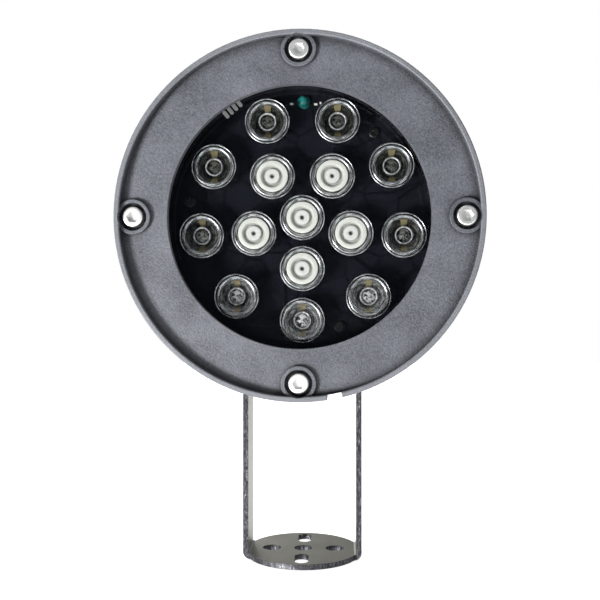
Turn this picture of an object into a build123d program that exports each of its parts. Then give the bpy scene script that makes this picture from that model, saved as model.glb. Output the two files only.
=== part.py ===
from build123d import *
import os
from math import cos, radians, sin

# Underwater pond light: a round lamp head that tilts between the arms of a bent steel bracket.
# The origin is at the centre of the foot's underside, +Z is up and the lamp shines towards -Y.
# Depths in the lamp head are measured backwards from the front edge of the bezel's lip.

# ---------------------------------------------------------------- driving dimensions, mm

# Bracket: one strip of stainless plate, bent into a U, with a round foot.
PLATE = 2.8
ARM_WIDTH = 25.0
ARM_INNER = 28.0
ARM_OUTER = ARM_INNER + PLATE
BEND_INNER = 1.2
FOOT_RADIUS = 29.7
PIVOT_HEIGHT = 174.7
PIVOT_HOLE_RADIUS = 3.05
FOOT_CENTRE_HOLE = 4.8
FOOT_SIDE_HOLE = 4.9
FOOT_SIDE_SPACING = 16.7
FOOT_SLOT_SPACING = 19.2
FOOT_SLOT_LENGTH = 15.4
FOOT_SLOT_WIDTH = 7.2

# Lamp head: the stack of parts from front to back.
SETBACK = 53.0
RING_FACE = 5.0
RING_BACK = 9.0
GLASS_FRONT = 10.0
GLASS_BACK = 15.5
SEAT = 16.5
LENS_FRONT = 17.3
BOARD_FACE = 28.0
BOARD_BACK = 29.6
CAVITY_FLOOR = 30.1
DRUM_BACK = 34.1
NECK_BACK = 94.0
COVER_FRONT = 95.0
COVER_BACK = 101.0

# Bezel ring.
BEZEL_RADIUS = 88.3
LIP_INNER = 85.8
SKIRT_INNER = 85.7
SKIRT_BACK = 18.0
WINDOW_RADIUS = 63.4
SCREW_CIRCLE = 79.7
COLLAR_RADIUS = 8.5
COLLAR_TOP = 2.8
COUNTERBORE_RADIUS = 6.7
COUNTERBORE_FLOOR = 7.4
BEZEL_HOLE_RADIUS = 3.25
NOTCH_WIDTH = 7.3
NOTCH_ANGLE = -78.7
NOTCH_DEPTH = 4.4
EDGE_ROUND = 0.6

# Housing.
FLANGE_RADIUS = 85.4
FLANGE_FRONT = 9.2
FLANGE_BACK = 17.2
GLASS_POCKET = 72.8
DRUM_RADIUS = 73.0
CAVITY_RADIUS = 69.9
NECK_RADIUS = 26.2
CHAMBER_RADIUS = 20.8
PIVOT_BOSS_RADIUS = 9.0
PIVOT_BOSS_FACE = 26.8
PIVOT_BOSS_INNER = 15.5
SCREW_BOSS_RADIUS = 5.6
SCREW_BOSS_BACK = 26.0
SCREW_WEB = 7.0
M6_TAP = 3.0
M6_TAP_DEPTH = 14.0
GUSSET_COUNT = 24
GUSSET_THICKNESS = 2.2
GUSSET_RADIUS = 83.9
NECK_COLLAR = 4.0
DRUM_CORNER = 4.5
FIN_HEIGHT = 6.0
FIN_THICKNESS = 2.5
FIN_PITCH = 8.0
NECK_FINS = 7
SIDE_FINS = 4
SIDE_FIN_START = 36.0
COVER_SCREW_CIRCLE = 22.3
COVER_BOSS_RADIUS = 3.2
COVER_GASKET_BORE = 18.8
COVER_BOSS_LENGTH = 12.0
COVER_TAP_DEPTH = 9.0
M3_TAP = 1.5
BOARD_TAP_DEPTH = 3.5
DRIVER_POST_RADIUS = 3.0
DRIVER_TAP = 1.25
DRIVER_TAP_DEPTH = 6.0
LEAD_HOLE_RING = 15.0
LEAD_SLOT_WIDTH = 11.6
LEAD_GROOVE_DEPTH = 1.8

# Cap screws of the bezel.
M6_HEAD_RADIUS = 4.9
M6_HEAD = 4.0
M6_HEX = 2.5
M6_LENGTH = 16.0
M6_HEAD_ROUND = 0.9
BEZEL_WASHER = 0.8
BEZEL_WASHER_RADIUS = 5.6
BEZEL_WASHER_HOLE = 3.15

# M3 screws of the LED board and the rear cover.
M3_SHANK = 1.45
M3_CLEARANCE = 1.7
M3_HEAD_RADIUS = 2.75
PAN_LENGTH = 5.0
PAN_HEAD = 2.0
PAN_SLOT_LENGTH = 3.0
PAN_SLOT_WIDTH = 0.6
CAP_LENGTH = 11.0
CAP_HEAD = 3.0
CAP_KEY = 1.25

# Glass, gaskets and LED board.
GLASS_RADIUS = 72.5
GLASS_CHAMFER = 0.5
BOARD_RADIUS = 69.5
ARRAY_X = 1.1
ARRAY_Y = 0.8
OUTER_LENS_RING = 50.8
OUTER_LENS_COUNT = 9
INNER_LENS_RING = 25.2
INNER_LENS_COUNT = 5
FIRST_LENS_ANGLE = -90
LENS_RADIUS = 11.3
LENS_HEIGHT = BOARD_FACE - LENS_FRONT
LENS_FLANGE = 1.6
LENS_EDGE = 0.4
LENS_CONE_RADIUS = 10.0
LENS_CONE_CURVE = 16.0
LENS_FOOT_RADIUS = 5.0
LENS_FOOT_BORE = 4.3
LENS_POCKET_RADIUS = 3.2
LENS_POCKET_TOP = 6.4
LENS_WELL_RADIUS = 3.6
LENS_WELL_DEPTH = 2.8
LENS_WELL_CURVE = 6.0
HOLDER_INNER = 5.1
HOLDER_OUTER = 7.3
HOLDER_HEIGHT = 4.6
LEAD_GAP_WIDTH = 3.0
LEAD_GAP_HEIGHT = 1.8
LED_BODY_RADIUS = 4.0
LED_BODY_HEIGHT = 2.9
LED_DOME_RADIUS = 2.5
LED_LEAD_WIDTH = 2.2
LED_LEAD_THICKNESS = 0.35
LED_LEAD_HEIGHT = 1.0
LED_LEAD_BEND = 5.3
LED_LEAD_END = 7.2
BOARD_SCREW_CIRCLE = 57.0
BOARD_SCREW_START = 50
SENSOR_X = 1.5
SENSOR_Y = 59.6
PAD_RING = 66.6
PAD_LENGTH = 4.6
PAD_WIDTH = 2.0
PAD_TURN = 9.0
PAD_HEIGHT = 0.6
SENSOR_BASE_RADIUS = 3.3
SENSOR_BASE = 1.2
SENSOR_DOME_RADIUS = 2.9
CHIP_HEIGHT = 0.5
LEAD_ANGLE = 121.4
LEAD_RADIUS = 0.6
LEAD_BEND = 0.9
LEAD_HOLE_RADIUS = 0.75
LEAD_PITCH = 2.9
LEAD_COUNT = 4

# Driver board, inside the neck.
DRIVER_TOP = PIVOT_HEIGHT - 9.0
DRIVER_HALF_WIDTH = 17.4
DRIVER_FRONT = -10.0
DRIVER_REAR = 29.0
DRIVER_THICKNESS = 1.6
DRIVER_SCREW_INSET = 5.0
DRIVER_SCREW_HEAD_RADIUS = 2.2
DRIVER_SCREW_HEAD = 1.0
DRIVER_HOLE = 1.4
DRIVER_SCREWS = (
    (0, DRIVER_FRONT + DRIVER_SCREW_INSET),
    (0, DRIVER_REAR - DRIVER_SCREW_INSET),
)

# Cable gland at the back.
GLAND_THREAD = 6.0
GLAND_HEX = 8.0
GLAND_BORE = 3.6
GLAND_WASHER = 1.0
GLAND_NUT = 3.2
GLAND_NECK = 4.0
SEAL_OUTER = 4.6
SEAL_BORE = 3.3
SEAL_LENGTH = 7.0

# Pivot hardware, from each bracket arm outwards.
PIVOT_GAP = 0.2
WASHER_THICKNESS = 1.2
LOCK_THICKNESS = 1.6
FRICTION_THICKNESS = 1.0
BOLT_RADIUS = 3.0
BOLT_LENGTH = 16.0
BOLT_HEX = 5.0
BOLT_HEAD = 4.0
WASHER_HOLE = 3.2
FLAT_START = ARM_OUTER + PIVOT_GAP
LOCK_START = FLAT_START + WASHER_THICKNESS
BOLT_SEAT = LOCK_START + LOCK_THICKNESS
BOLT_HOLE_DEPTH = BOLT_LENGTH - (BOLT_SEAT - PIVOT_BOSS_FACE) + 0.8

# Running clearance of a screw or seal in its hole, and how far joined shapes run into each other.
FIT = 0.05
OVERLAP = 0.5


def head_plane(depth):
    """A plane across the lamp's axis, facing forward, this far behind the lip's front edge."""
    return Plane(origin=(0, depth - SETBACK, PIVOT_HEIGHT), x_dir=(1, 0, 0), z_dir=(0, -1, 0))


def rear_plane(depth):
    """The same plane, facing backward."""
    return Plane(origin=(0, depth - SETBACK, PIVOT_HEIGHT), x_dir=(-1, 0, 0), z_dir=(0, 1, 0))


# Half-sections of the turned parts are drawn here: x is the radius and y is the depth.
SECTION = Plane(origin=(0, -SETBACK, PIVOT_HEIGHT), x_dir=(1, 0, 0), z_dir=(0, 0, 1))
LAMP_AXIS = Axis((0, -SETBACK, PIVOT_HEIGHT), (0, 1, 0))


# ---------------------------------------------------------------- bracket

ARM_TOP = PIVOT_HEIGHT + ARM_WIDTH / 2
with BuildSketch(Plane.XZ) as u_inside:
    with Locations((0, PLATE + ARM_TOP / 2)):
        Rectangle(2 * ARM_INNER, ARM_TOP)
    fillet(u_inside.vertices().group_by(Axis.Z)[0], BEND_INNER)

with BuildPart() as bracket:
    with BuildSketch(Plane.XZ) as u_section:
        with Locations((0, ARM_TOP / 2)):
            Rectangle(2 * ARM_OUTER, ARM_TOP)
        fillet(u_section.vertices().group_by(Axis.Y)[0], BEND_INNER + PLATE)
    extrude(amount=ARM_WIDTH / 2, both=True)
    extrude(to_extrude=u_inside.sketch, amount=ARM_WIDTH, both=True, mode=Mode.SUBTRACT)
    arm_corners = bracket.edges().filter_by(Axis.X).group_by(Axis.Z)[-1]
    fillet(arm_corners, ARM_WIDTH / 2 - 0.1)
    with BuildSketch(Plane.XY):
        Circle(FOOT_RADIUS)
        Rectangle(2 * (ARM_INNER - BEND_INNER), 2 * FOOT_RADIUS, mode=Mode.INTERSECT)
    extrude(amount=PLATE)
    with BuildSketch(Plane.XY):
        Circle(FOOT_CENTRE_HOLE)
        with GridLocations(2 * FOOT_SIDE_SPACING, 0, 2, 1):
            Circle(FOOT_SIDE_HOLE)
        with GridLocations(0, 2 * FOOT_SLOT_SPACING, 1, 2):
            SlotOverall(FOOT_SLOT_LENGTH, FOOT_SLOT_WIDTH, rotation=90)
    extrude(amount=PLATE, mode=Mode.SUBTRACT)
    with BuildSketch(Plane.YZ):
        with Locations((0, PIVOT_HEIGHT)):
            Circle(PIVOT_HOLE_RADIUS)
    extrude(amount=2 * ARM_OUTER, both=True, mode=Mode.SUBTRACT)


# ---------------------------------------------------------------- housing

# A gusset behind the flange, drawn at 3 o'clock with +Z forward.
with BuildPart() as gusset:
    with BuildSketch(Plane.XZ):
        with BuildLine():
            Polyline(
                (DRUM_RADIUS - 1, -FLANGE_BACK + OVERLAP),
                (GUSSET_RADIUS, -FLANGE_BACK + OVERLAP),
                (GUSSET_RADIUS, -FLANGE_BACK - 2),
                (DRUM_RADIUS, -DRUM_BACK + 4),
                (DRUM_RADIUS - 1, -DRUM_BACK + 4),
                close=True,
            )
        make_face()
    extrude(amount=GUSSET_THICKNESS / 2, both=True)

with BuildPart(head_plane(0)) as housing:
    # Flange, drum wall and floor, turned about the lamp's axis.
    with BuildSketch(SECTION) as drum_section:
        with BuildLine():
            Polyline(
                (0, DRUM_BACK),
                (0, CAVITY_FLOOR),
                (CAVITY_RADIUS, CAVITY_FLOOR),
                (CAVITY_RADIUS, SEAT),
                (GLASS_POCKET, SEAT),
                (GLASS_POCKET, FLANGE_FRONT),
                (FLANGE_RADIUS, FLANGE_FRONT),
                (FLANGE_RADIUS, FLANGE_BACK),
                (GLASS_POCKET + 3, FLANGE_BACK),
                (DRUM_RADIUS, FLANGE_BACK + 4),
                (DRUM_RADIUS, DRUM_BACK),
                close=True,
            )
        make_face()
        rear_corner = drum_section.vertices().group_by(Axis.Y)[-1].sort_by(Axis.X)[-1]
        fillet(rear_corner, DRUM_CORNER)
    revolve(axis=LAMP_AXIS)

    # Neck, with a collar where it joins the drum.
    with BuildSketch(head_plane(NECK_BACK)):
        Circle(NECK_RADIUS)
    extrude(amount=NECK_BACK - DRUM_BACK + 1)
    with BuildSketch(SECTION):
        with BuildLine():
            collar_radius = NECK_RADIUS + NECK_COLLAR
            collar_back = DRUM_BACK + NECK_COLLAR
            Line((NECK_RADIUS - 1, DRUM_BACK - 1), (collar_radius, DRUM_BACK - 1))
            Line((collar_radius, DRUM_BACK - 1), (collar_radius, DRUM_BACK))
            RadiusArc((collar_radius, DRUM_BACK), (NECK_RADIUS, collar_back), NECK_COLLAR)
            Line((NECK_RADIUS, collar_back), (NECK_RADIUS - 1, collar_back))
            Line((NECK_RADIUS - 1, collar_back), (NECK_RADIUS - 1, DRUM_BACK - 1))
        make_face()
    revolve(axis=LAMP_AXIS)

    # Upright cooling fins on the back, with a gap where each bracket arm passes.
    side_fin_centre = SIDE_FIN_START + (SIDE_FINS - 1) * FIN_PITCH / 2
    with BuildSketch(head_plane(DRUM_BACK - OVERLAP)):
        with GridLocations(FIN_PITCH, 0, NECK_FINS, 1):
            Rectangle(FIN_THICKNESS, 2 * DRUM_RADIUS)
        for side in (-1, 1):
            with Locations((side * side_fin_centre, 0)):
                with GridLocations(FIN_PITCH, 0, SIDE_FINS, 1):
                    Rectangle(FIN_THICKNESS, 2 * DRUM_RADIUS)
        Circle(DRUM_RADIUS - DRUM_CORNER, mode=Mode.INTERSECT)
        Circle(NECK_RADIUS - 1, mode=Mode.SUBTRACT)
    extrude(amount=-FIN_HEIGHT - OVERLAP)

    # Gussets behind the flange, and a boss and web behind each bezel screw.
    with PolarLocations(0, GUSSET_COUNT):
        add(gusset.part)
    with BuildSketch(head_plane(SCREW_BOSS_BACK)):
        with PolarLocations(SCREW_CIRCLE, 4):
            Circle(SCREW_BOSS_RADIUS)
        with PolarLocations((DRUM_RADIUS + SCREW_CIRCLE) / 2 - OVERLAP, 4):
            Rectangle(SCREW_CIRCLE - DRUM_RADIUS + 1, SCREW_WEB)
    extrude(amount=SCREW_BOSS_BACK - FLANGE_BACK + OVERLAP)

    # Pivot bosses, one each side of the neck.
    with BuildSketch(Plane.YZ.offset(-PIVOT_BOSS_FACE)):
        with Locations((0, PIVOT_HEIGHT)):
            Circle(PIVOT_BOSS_RADIUS)
    extrude(amount=2 * PIVOT_BOSS_FACE)

    # Driver chamber, open at the back.
    with BuildSketch(head_plane(NECK_BACK)):
        Circle(CHAMBER_RADIUS)
    extrude(amount=NECK_BACK - DRUM_BACK, mode=Mode.SUBTRACT)

    # Inside the chamber: pivot boss ends, posts for the driver board and cover screw bosses.
    for side in (-1, 1):
        with BuildSketch(Plane.YZ.offset(side * (CHAMBER_RADIUS + 1))):
            with Locations((0, PIVOT_HEIGHT)):
                Circle(PIVOT_BOSS_RADIUS - 2)
        extrude(amount=side * (PIVOT_BOSS_INNER - CHAMBER_RADIUS - 1))
    with BuildSketch(Plane.XY.offset(PIVOT_HEIGHT - CHAMBER_RADIUS - 1)):
        with Locations(*DRIVER_SCREWS):
            Circle(DRIVER_POST_RADIUS)
    extrude(amount=CHAMBER_RADIUS + 1 + DRIVER_TOP - DRIVER_THICKNESS - PIVOT_HEIGHT)
    with BuildSketch(head_plane(NECK_BACK)):
        with PolarLocations(COVER_SCREW_CIRCLE, 4, start_angle=45):
            Circle(COVER_BOSS_RADIUS)
    extrude(amount=COVER_BOSS_LENGTH)

    # Threaded holes: bezel screws, cover screws, pivot bolts, board screws and driver screws.
    with BuildSketch(head_plane(FLANGE_FRONT)):
        with PolarLocations(SCREW_CIRCLE, 4):
            Circle(M6_TAP)
    extrude(amount=-M6_TAP_DEPTH, mode=Mode.SUBTRACT)
    with BuildSketch(head_plane(NECK_BACK)):
        with PolarLocations(COVER_SCREW_CIRCLE, 4, start_angle=45):
            Circle(M3_TAP)
    extrude(amount=COVER_TAP_DEPTH, mode=Mode.SUBTRACT)
    for side in (-1, 1):
        with BuildSketch(Plane.YZ.offset(side * PIVOT_BOSS_FACE)):
            with Locations((0, PIVOT_HEIGHT)):
                Circle(BOLT_RADIUS + FIT)
        extrude(amount=side * -BOLT_HOLE_DEPTH, mode=Mode.SUBTRACT)
    with BuildSketch(head_plane(CAVITY_FLOOR)):
        with PolarLocations(BOARD_SCREW_CIRCLE, 3, start_angle=BOARD_SCREW_START):
            Circle(M3_TAP)
    extrude(amount=-BOARD_TAP_DEPTH, mode=Mode.SUBTRACT)
    with BuildSketch(Plane.XY.offset(DRIVER_TOP - DRIVER_THICKNESS)):
        with Locations(*DRIVER_SCREWS):
            Circle(DRIVER_TAP)
    extrude(amount=-DRIVER_TAP_DEPTH, mode=Mode.SUBTRACT)

    # Way for the leads: a hole into the chamber and a groove across the floor to the rim.
    with BuildSketch(head_plane(CAVITY_FLOOR)):
        with PolarLocations(LEAD_HOLE_RING, 1, start_angle=LEAD_ANGLE):
            Rectangle(4, LEAD_SLOT_WIDTH)
    extrude(amount=-6, mode=Mode.SUBTRACT)
    groove_start = LEAD_HOLE_RING - 2
    with BuildSketch(head_plane(CAVITY_FLOOR)):
        with PolarLocations((groove_start + CAVITY_RADIUS) / 2, 1, start_angle=LEAD_ANGLE):
            Rectangle(CAVITY_RADIUS - groove_start, LEAD_SLOT_WIDTH)
    extrude(amount=-LEAD_GROOVE_DEPTH, mode=Mode.SUBTRACT)


# ---------------------------------------------------------------- bezel ring and its screws

with BuildPart(head_plane(0)) as bezel_ring:
    with BuildSketch(SECTION) as ring_section:
        with BuildLine():
            Polyline(
                (WINDOW_RADIUS, RING_FACE),
                (LIP_INNER, RING_FACE),
                (LIP_INNER, 0),
                (BEZEL_RADIUS, 0),
                (BEZEL_RADIUS, SKIRT_BACK),
                (SKIRT_INNER, SKIRT_BACK),
                (SKIRT_INNER, RING_BACK),
                (WINDOW_RADIUS, RING_BACK),
                close=True,
            )
        make_face()
        corners = ring_section.vertices()
        fillet(corners.group_by(Axis.Y)[0], EDGE_ROUND)
        window_corner = corners.sort_by(Axis.X)[0:2].sort_by(Axis.Y)[0]
        fillet(window_corner, EDGE_ROUND)
        lip_foot = corners.filter_by_position(Axis.X, LIP_INNER - 0.01, LIP_INNER + 0.01)
        fillet(lip_foot.sort_by(Axis.Y)[-1], 1.0)
    revolve(axis=LAMP_AXIS)
    with BuildSketch(head_plane(RING_FACE + 1)):
        with PolarLocations(SCREW_CIRCLE, 4):
            Circle(COLLAR_RADIUS)
    extrude(amount=RING_FACE + 1 - COLLAR_TOP)
    collar_rims = bezel_ring.edges().filter_by(GeomType.CIRCLE)
    collar_rims = collar_rims.filter_by(lambda edge: abs(edge.radius - COLLAR_RADIUS) < 0.01)
    fillet(collar_rims.group_by(Axis.Y)[0], 0.4)
    with BuildSketch(head_plane(0)):
        with PolarLocations(SCREW_CIRCLE, 4):
            Circle(COUNTERBORE_RADIUS)
    extrude(amount=-COUNTERBORE_FLOOR, mode=Mode.SUBTRACT)
    with BuildSketch(head_plane(0)):
        with PolarLocations(SCREW_CIRCLE, 4):
            Circle(BEZEL_HOLE_RADIUS)
    extrude(amount=-RING_BACK - 1, mode=Mode.SUBTRACT)
    # Drain notch through the lip and the skirt, beside the lowest screw.
    with BuildSketch(head_plane(0)):
        with PolarLocations(LIP_INNER + NOTCH_DEPTH / 2, 1, start_angle=NOTCH_ANGLE):
            Rectangle(NOTCH_DEPTH, NOTCH_WIDTH)
    extrude(amount=-SKIRT_BACK, mode=Mode.SUBTRACT)

# Socket-head screw with the underside of its head at z = 0.
with BuildPart() as m6_screw:
    with BuildSketch(Plane.XY.offset(-M6_LENGTH)):
        Circle(M6_TAP - FIT)
    extrude(amount=M6_LENGTH)
    with BuildSketch(Plane.XY):
        Circle(M6_HEAD_RADIUS)
    extrude(amount=M6_HEAD)
    fillet(m6_screw.edges().group_by(Axis.Z)[-1], M6_HEAD_ROUND)
    with BuildSketch(Plane.XY.offset(M6_HEAD)):
        RegularPolygon(M6_HEX, 6, major_radius=False)
    extrude(amount=-M6_HEAD / 2, mode=Mode.SUBTRACT)

with BuildPart(head_plane(COUNTERBORE_FLOOR - BEZEL_WASHER)) as bezel_screws:
    with PolarLocations(SCREW_CIRCLE, 4, rotate=False):
        add(m6_screw.part)

with BuildPart() as bezel_washers:
    with BuildSketch(head_plane(COUNTERBORE_FLOOR)):
        with PolarLocations(SCREW_CIRCLE, 4):
            Circle(BEZEL_WASHER_RADIUS)
            Circle(BEZEL_WASHER_HOLE, mode=Mode.SUBTRACT)
    extrude(amount=BEZEL_WASHER)


# ---------------------------------------------------------------- glass and gaskets

with BuildPart() as front_glass:
    with BuildSketch(head_plane(GLASS_BACK)):
        Circle(GLASS_RADIUS)
    extrude(amount=GLASS_BACK - GLASS_FRONT)
    chamfer(front_glass.edges(), GLASS_CHAMFER)

with BuildPart() as front_gasket:
    with BuildSketch(head_plane(GLASS_FRONT)):
        Circle(GLASS_RADIUS)
        Circle(WINDOW_RADIUS + 1.6, mode=Mode.SUBTRACT)
    extrude(amount=GLASS_FRONT - RING_BACK)

with BuildPart() as rear_gasket:
    with BuildSketch(head_plane(SEAT)):
        Circle(GLASS_RADIUS)
        Circle(CAVITY_RADIUS + 0.1, mode=Mode.SUBTRACT)
    extrude(amount=SEAT - GLASS_BACK)


# ---------------------------------------------------------------- LED board

with BuildPart() as led_board:
    with BuildSketch(head_plane(BOARD_BACK)):
        Circle(BOARD_RADIUS)
        with PolarLocations(BOARD_SCREW_CIRCLE, 3, start_angle=BOARD_SCREW_START):
            Circle(M3_CLEARANCE, mode=Mode.SUBTRACT)
        with PolarLocations(PAD_RING, 1, start_angle=LEAD_ANGLE):
            with GridLocations(0, LEAD_PITCH, 1, LEAD_COUNT):
                Circle(LEAD_HOLE_RADIUS, mode=Mode.SUBTRACT)
    extrude(amount=BOARD_BACK - BOARD_FACE)

with BuildPart() as thermal_pad:
    with BuildSketch(head_plane(CAVITY_FLOOR)):
        Circle(BOARD_RADIUS - 1.5)
        with PolarLocations(BOARD_SCREW_CIRCLE, 3, start_angle=BOARD_SCREW_START):
            Circle(M3_CLEARANCE, mode=Mode.SUBTRACT)
        with PolarLocations(PAD_RING, 1, start_angle=LEAD_ANGLE):
            Rectangle(4, LEAD_SLOT_WIDTH, mode=Mode.SUBTRACT)
    extrude(amount=CAVITY_FLOOR - BOARD_BACK)

with BuildPart() as m3_pan_screw:
    with BuildSketch(Plane.XY.offset(-PAN_LENGTH)):
        Circle(M3_SHANK)
    extrude(amount=PAN_LENGTH)
    with BuildSketch(Plane.XY):
        Circle(M3_HEAD_RADIUS)
    extrude(amount=PAN_HEAD)
    fillet(m3_pan_screw.edges().group_by(Axis.Z)[-1], 0.4 * PAN_HEAD)
    with BuildSketch(Plane.XY.offset(PAN_HEAD)):
        Rectangle(PAN_SLOT_LENGTH, PAN_SLOT_WIDTH)
        Rectangle(PAN_SLOT_WIDTH, PAN_SLOT_LENGTH)
    extrude(amount=-PAN_HEAD / 2, mode=Mode.SUBTRACT)

with BuildPart(head_plane(BOARD_FACE)) as board_screws:
    with PolarLocations(BOARD_SCREW_CIRCLE, 3, start_angle=BOARD_SCREW_START):
        add(m3_pan_screw.part)

# One LED, with the board's face at z = 0: package, silicone dome and two bent leads.
with BuildPart() as led_body:
    with BuildSketch(Plane.XY):
        Circle(LED_BODY_RADIUS)
    extrude(amount=LED_BODY_HEIGHT)
    chamfer(led_body.edges().group_by(Axis.Z)[-1], 0.4)

with BuildPart() as led_dome:
    with BuildSketch(Plane.XZ):
        with BuildLine():
            Line((0, LED_BODY_HEIGHT), (LED_DOME_RADIUS, LED_BODY_HEIGHT))
            CenterArc((0, LED_BODY_HEIGHT), LED_DOME_RADIUS, 0, 90)
            Line((0, LED_BODY_HEIGHT + LED_DOME_RADIUS), (0, LED_BODY_HEIGHT))
        make_face()
    revolve(axis=Axis.Z)

with BuildPart() as led_lead_pair:
    with BuildSketch(Plane.YZ):
        for side in (-1, 1):
            with BuildLine():
                Polyline(
                    (side * LED_BODY_RADIUS, LED_LEAD_HEIGHT),
                    (side * LED_LEAD_BEND, LED_LEAD_HEIGHT),
                    (side * LED_LEAD_BEND, 0),
                    (side * LED_LEAD_END, 0),
                    (side * LED_LEAD_END, LED_LEAD_THICKNESS),
                    (side * (LED_LEAD_BEND + LED_LEAD_THICKNESS), LED_LEAD_THICKNESS),
                    (side * (LED_LEAD_BEND + LED_LEAD_THICKNESS), LED_LEAD_HEIGHT + LED_LEAD_THICKNESS),
                    (side * LED_BODY_RADIUS, LED_LEAD_HEIGHT + LED_LEAD_THICKNESS),
                    close=True,
                )
            make_face()
    extrude(amount=LED_LEAD_WIDTH / 2, both=True)

# One collimator lens, drawn as a half-section: the cone stands on a foot round the LED.
with BuildPart() as lens:
    with BuildSketch(Plane.XZ):
        with BuildLine():
            foot_top = LED_BODY_HEIGHT + FIT
            flange_base = LENS_HEIGHT - LENS_FLANGE
            well_floor = LENS_HEIGHT - LENS_WELL_DEPTH
            Line((LENS_FOOT_BORE, 0), (LENS_FOOT_RADIUS, 0))
            Line((LENS_FOOT_RADIUS, 0), (LENS_FOOT_RADIUS, foot_top))
            RadiusArc((LENS_FOOT_RADIUS, foot_top), (LENS_CONE_RADIUS, flange_base), LENS_CONE_CURVE)
            Line((LENS_CONE_RADIUS, flange_base), (LENS_RADIUS, flange_base))
            Line((LENS_RADIUS, flange_base), (LENS_RADIUS, LENS_HEIGHT - LENS_EDGE))
            Line((LENS_RADIUS, LENS_HEIGHT - LENS_EDGE), (LENS_RADIUS - LENS_EDGE, LENS_HEIGHT))
            Line((LENS_RADIUS - LENS_EDGE, LENS_HEIGHT), (LENS_WELL_RADIUS, LENS_HEIGHT))
            Line((LENS_WELL_RADIUS, LENS_HEIGHT), (LENS_WELL_RADIUS, well_floor))
            RadiusArc((LENS_WELL_RADIUS, well_floor), (0, flange_base), -LENS_WELL_CURVE)
            Line((0, flange_base), (0, LENS_POCKET_TOP))
            Line((0, LENS_POCKET_TOP), (LENS_POCKET_RADIUS, LENS_POCKET_TOP))
            Line((LENS_POCKET_RADIUS, LENS_POCKET_TOP), (LENS_POCKET_RADIUS, foot_top))
            Line((LENS_POCKET_RADIUS, foot_top), (LENS_FOOT_BORE, foot_top))
            Line((LENS_FOOT_BORE, foot_top), (LENS_FOOT_BORE, 0))
        make_face()
    revolve(axis=Axis.Z)
    with BuildSketch(Plane.XY):
        Rectangle(LEAD_GAP_WIDTH, 2 * LENS_FOOT_RADIUS + 2)
    extrude(amount=LEAD_GAP_HEIGHT, mode=Mode.SUBTRACT)

with BuildPart() as lens_holder:
    with BuildSketch(Plane.XZ):
        with BuildLine():
            Polyline(
                (HOLDER_INNER, 0),
                (HOLDER_OUTER, 0),
                (HOLDER_OUTER, HOLDER_HEIGHT),
                (HOLDER_OUTER - 1, HOLDER_HEIGHT),
                (HOLDER_INNER, HOLDER_HEIGHT / 2),
                close=True,
            )
        make_face()
    revolve(axis=Axis.Z)
    with BuildSketch(Plane.XY):
        Rectangle(LEAD_GAP_WIDTH, 2 * HOLDER_OUTER + 2)
    extrude(amount=LEAD_GAP_HEIGHT, mode=Mode.SUBTRACT)


def ring_of_places(radius, count):
    """Places evenly round the array's centre, which sits a little off the board's centre."""
    angles = [radians(FIRST_LENS_ANGLE + i * 360 / count) for i in range(count)]
    return [(ARRAY_X + radius * cos(angle), ARRAY_Y + radius * sin(angle)) for angle in angles]


def on_leds(blank, places):
    """Copies of one blank, standing on the board's face at these places."""
    with BuildPart(head_plane(BOARD_FACE)) as group:
        with Locations(*places):
            add(blank.part)
    return group


inner_places = [(ARRAY_X, ARRAY_Y)] + ring_of_places(INNER_LENS_RING, INNER_LENS_COUNT)
outer_places = ring_of_places(OUTER_LENS_RING, OUTER_LENS_COUNT)
outer_lenses = on_leds(lens, outer_places)
inner_lenses = on_leds(lens, inner_places)
inner_lens_holders = on_leds(lens_holder, inner_places)
led_bodies = on_leds(led_body, inner_places + outer_places)
led_domes = on_leds(led_dome, inner_places + outer_places)
led_leads = on_leds(led_lead_pair, inner_places + outer_places)

# Sensor near the top edge of the board, with a chip part each side of it.
with BuildPart(head_plane(BOARD_FACE)) as light_sensor:
    with Locations((SENSOR_X, SENSOR_Y)):
        Cylinder(SENSOR_BASE_RADIUS, SENSOR_BASE, align=(Align.CENTER, Align.CENTER, Align.MIN))
    with Locations((SENSOR_X, SENSOR_Y, SENSOR_BASE)):
        Sphere(SENSOR_DOME_RADIUS, arc_size1=0, align=(Align.CENTER, Align.CENTER, Align.MIN))

with BuildPart() as sensor_chips:
    with BuildSketch(head_plane(BOARD_FACE)):
        with Locations((SENSOR_X - 6.2, SENSOR_Y - 0.7), (SENSOR_X + 6.0, SENSOR_Y - 1.0)):
            Rectangle(1.6, 0.9)
        with Locations((SENSOR_X + 8.4, SENSOR_Y - 0.4)):
            Rectangle(0.9, 1.0)
    extrude(amount=CHIP_HEIGHT)

# Tinned pads at the board's rim, turned a little from the leads' direction.
with BuildPart() as solder_pads:
    with BuildSketch(head_plane(BOARD_FACE)):
        with PolarLocations(PAD_RING, 1, start_angle=LEAD_ANGLE):
            with Locations(Location((0, 0), PAD_TURN)):
                with GridLocations(0, LEAD_PITCH, 1, LEAD_COUNT):
                    SlotOverall(PAD_LENGTH, PAD_WIDTH)
    extrude(amount=PAD_HEIGHT)
    fillet(solder_pads.faces().filter_by(Axis.Y).group_by(Axis.Y)[0].edges(), PAD_HEIGHT - 0.1)

# Leads from the driver board, through the floor, along the groove and up to the pads.
U = (cos(radians(LEAD_ANGLE)), sin(radians(LEAD_ANGLE)))


def lamp_point(out, across, depth):
    """A point given by its distance out towards the pads, across that line, and its depth."""
    x = U[0] * out - U[1] * across
    z = U[1] * out + U[0] * across
    return (x, depth - SETBACK, PIVOT_HEIGHT + z)


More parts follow.
